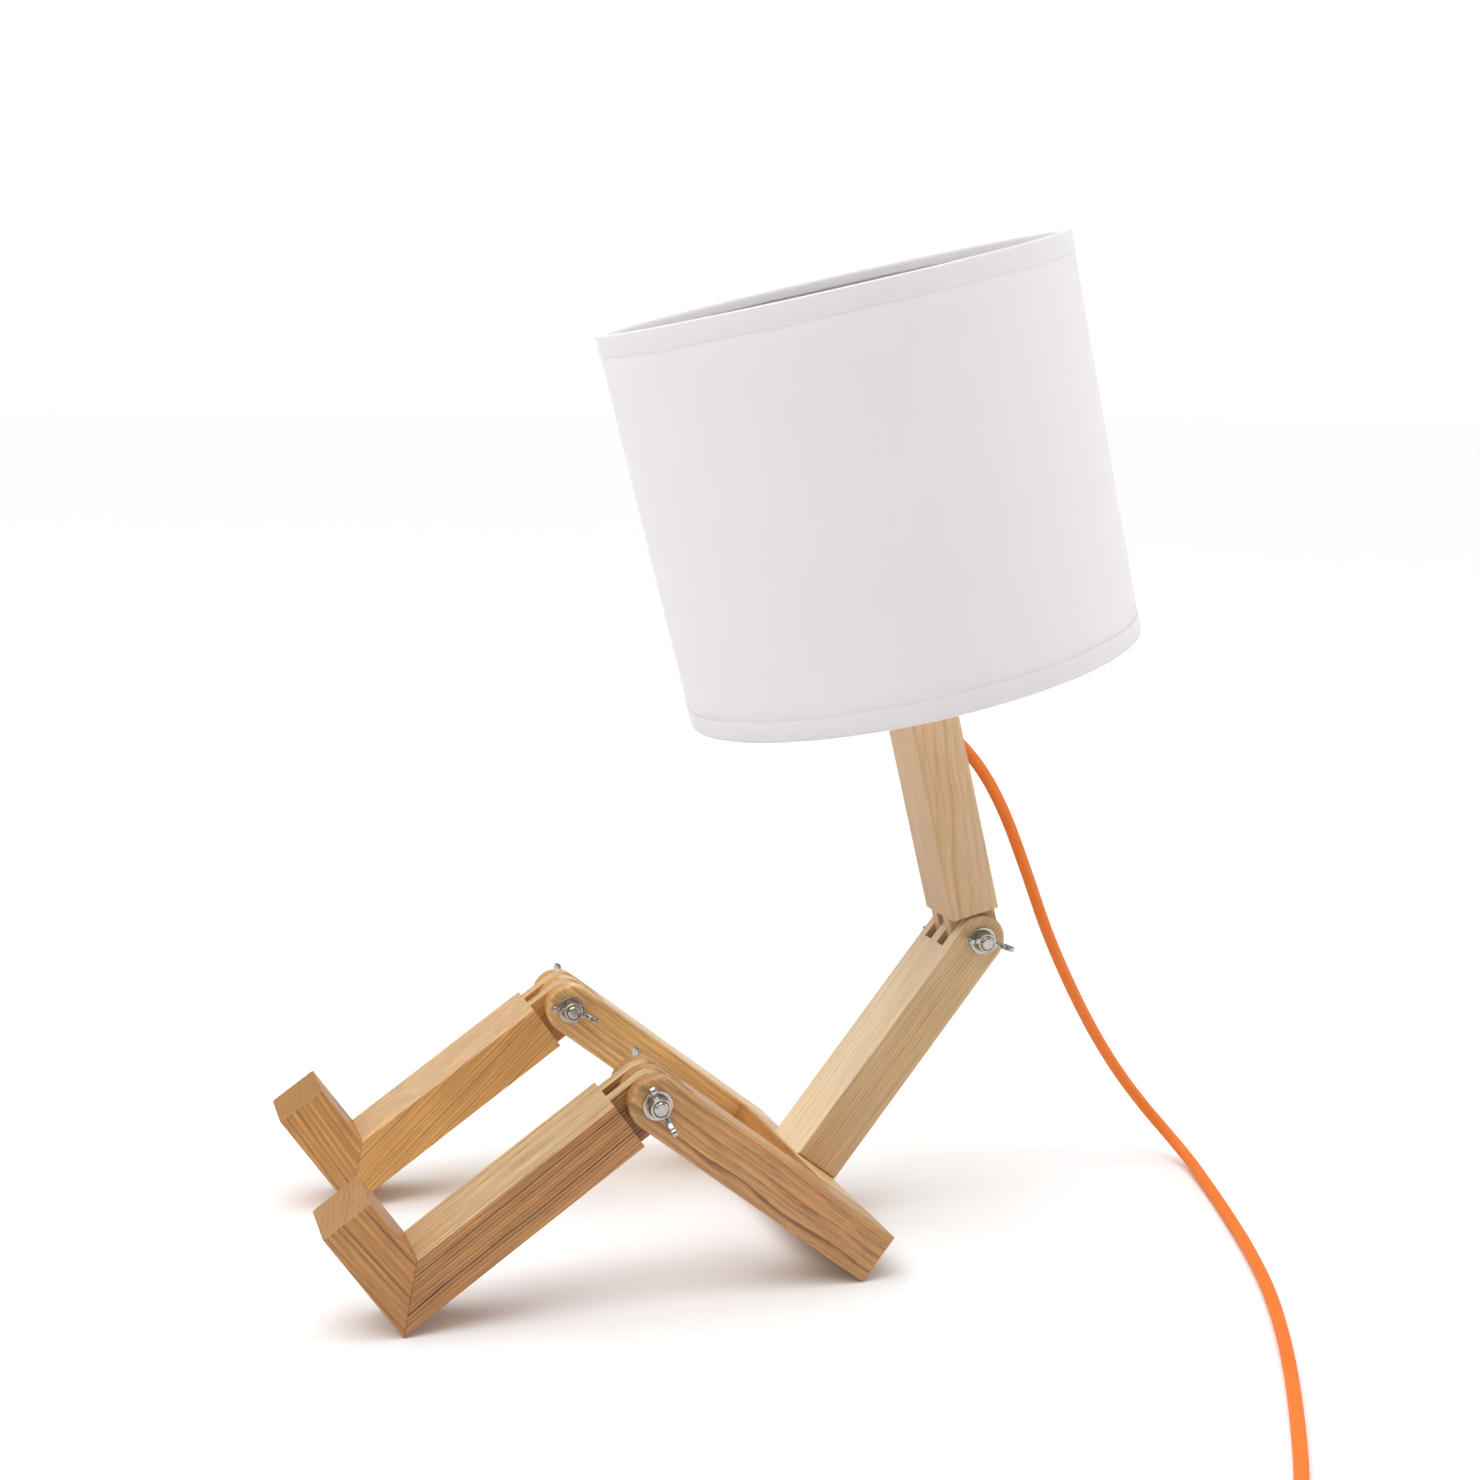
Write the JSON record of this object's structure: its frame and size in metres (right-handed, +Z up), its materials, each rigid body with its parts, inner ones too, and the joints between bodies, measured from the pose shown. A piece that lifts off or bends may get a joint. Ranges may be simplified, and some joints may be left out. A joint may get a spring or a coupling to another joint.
{
  "type": "desk lamp",
  "caption": "Seated figure of finger-jointed wooden bars with hinged knees and neck, held by wing nuts, that carries a drum shade and a braided cord.",
  "frame": {"origin": "on the surface that the lamp sits on, below the middle of its bounding box without the cord", "axes": "+Z up, -X towards the feet, +X towards the back, Y across the lamp"},
  "size_m": [0.4497, 0.568, 0.4239],
  "materials": {
    "ash_wood": "clear matt lacquer on ash",
    "plated_steel": "bright zinc plate",
    "screw_steel": "zinc plate",
    "holder_plastic": "moulded, satin",
    "insert_plastic": "heat-proof moulding",
    "brass": "pressed",
    "wire_plastic": "insulation",
    "shade_fabric": "fine weave on a stiff lining",
    "hem_fabric": "folded tape",
    "shade_wire": "white coat",
    "cord_braid": "braided sleeve",
    "switch_plastic": "moulded",
    "rocker_plastic": "moulded",
    "plug_plastic": "moulded",
    "pin_metal": "nickel plate",
    "sleeve_plastic": "insulation"
  },
  "bodies": {
    "pelvis_and_torso": {"thigh_near": "ash_wood", "knee_near_bolt": "plated_steel", "knee_near_washers": "plated_steel", "thigh_far": "ash_wood", "knee_far_bolt": "plated_steel", "knee_far_washers": "plated_steel", "hip_block": "ash_wood", "hip_dowels": "ash_wood", "torso_screws": "screw_steel", "torso": "ash_wood", "neck_bolt": "plated_steel", "neck_washers": "plated_steel", "cord_drop": "cord_braid", "cord_floor": "cord_braid", "cord_loop": "cord_braid", "cord_coil": "cord_braid", "cord_tail": "cord_braid", "switch_base": "switch_plastic", "switch_cover": "switch_plastic", "switch_contacts": "brass", "switch_screws": "screw_steel", "plug_strain_relief": "plug_plastic", "plug_body": "plug_plastic", "plug_pins": "pin_metal", "plug_pin_sleeves": "sleeve_plastic"},
    "shin_near": {"shin_near": "ash_wood", "foot_near": "ash_wood", "heel_dowels_near": "ash_wood"},
    "knee_near_wing_nut": {"knee_near_wing_nut": "plated_steel"},
    "shin_far": {"shin_far": "ash_wood", "foot_far": "ash_wood", "heel_dowels_far": "ash_wood"},
    "knee_far_wing_nut": {"knee_far_wing_nut": "plated_steel"},
    "neck_wing_nut": {"neck_wing_nut": "plated_steel"},
    "neck_and_shade": {"neck": "ash_wood", "cord_in_neck": "cord_braid", "holder_nipple": "screw_steel", "holder_cap": "holder_plastic", "holder_skirt": "holder_plastic", "holder_insert": "insert_plastic", "holder_thread_shell": "brass", "holder_centre_contact": "brass", "holder_terminals": "brass", "holder_wires": "wire_plastic", "shade_skin": "shade_fabric", "shade_spider": "shade_wire", "shade_retaining_ring": "holder_plastic", "shade_hem_bottom": "hem_fabric", "shade_hem_top": "hem_fabric", "shade_top_wire": "shade_wire"},
    "switch_rocker": {"switch_rocker": "rocker_plastic"}
  },
  "joints": [
    {"name": "knee_near", "type": "hinge", "parent": "pelvis_and_torso", "child": "shin_near", "pos_m": [-0.05283, -0.0706, 0.08254], "axis": [0, 1, 0], "range_deg": [-27, 173]},
    {"name": "knee_far", "type": "hinge", "parent": "pelvis_and_torso", "child": "shin_far", "pos_m": [-0.05283, 0.0706, 0.08254], "axis": [0, 1, 0], "range_deg": [-27, 173]},
    {"name": "neck_tilt", "type": "hinge", "parent": "pelvis_and_torso", "child": "neck_and_shade", "pos_m": [0.11417, 0, 0.11937], "axis": [0, 1, 0], "range_deg": [-42, 105], "deforming": ["cord_drop"]},
    {"name": "knee_near_nut_turn", "type": "hinge", "parent": "pelvis_and_torso", "child": "knee_near_wing_nut", "pos_m": [-0.05283, -0.0901, 0.08254], "axis": [0, -1, 0], "range_deg": [0, 360]},
    {"name": "knee_far_nut_turn", "type": "hinge", "parent": "pelvis_and_torso", "child": "knee_far_wing_nut", "pos_m": [-0.05283, 0.0511, 0.08254], "axis": [0, -1, 0], "range_deg": [0, 360]},
    {"name": "neck_nut_turn", "type": "hinge", "parent": "pelvis_and_torso", "child": "neck_wing_nut", "pos_m": [0.11417, -0.0195, 0.11937], "axis": [0, -1, 0], "range_deg": [0, 360]},
    {"name": "switch_rocker_tilt", "type": "hinge", "parent": "pelvis_and_torso", "child": "switch_rocker", "pos_m": [0.058, -0.36, 0.0138], "axis": [-0.8192, 0.5736, 0], "range_deg": [0, 14]}
  ]
}
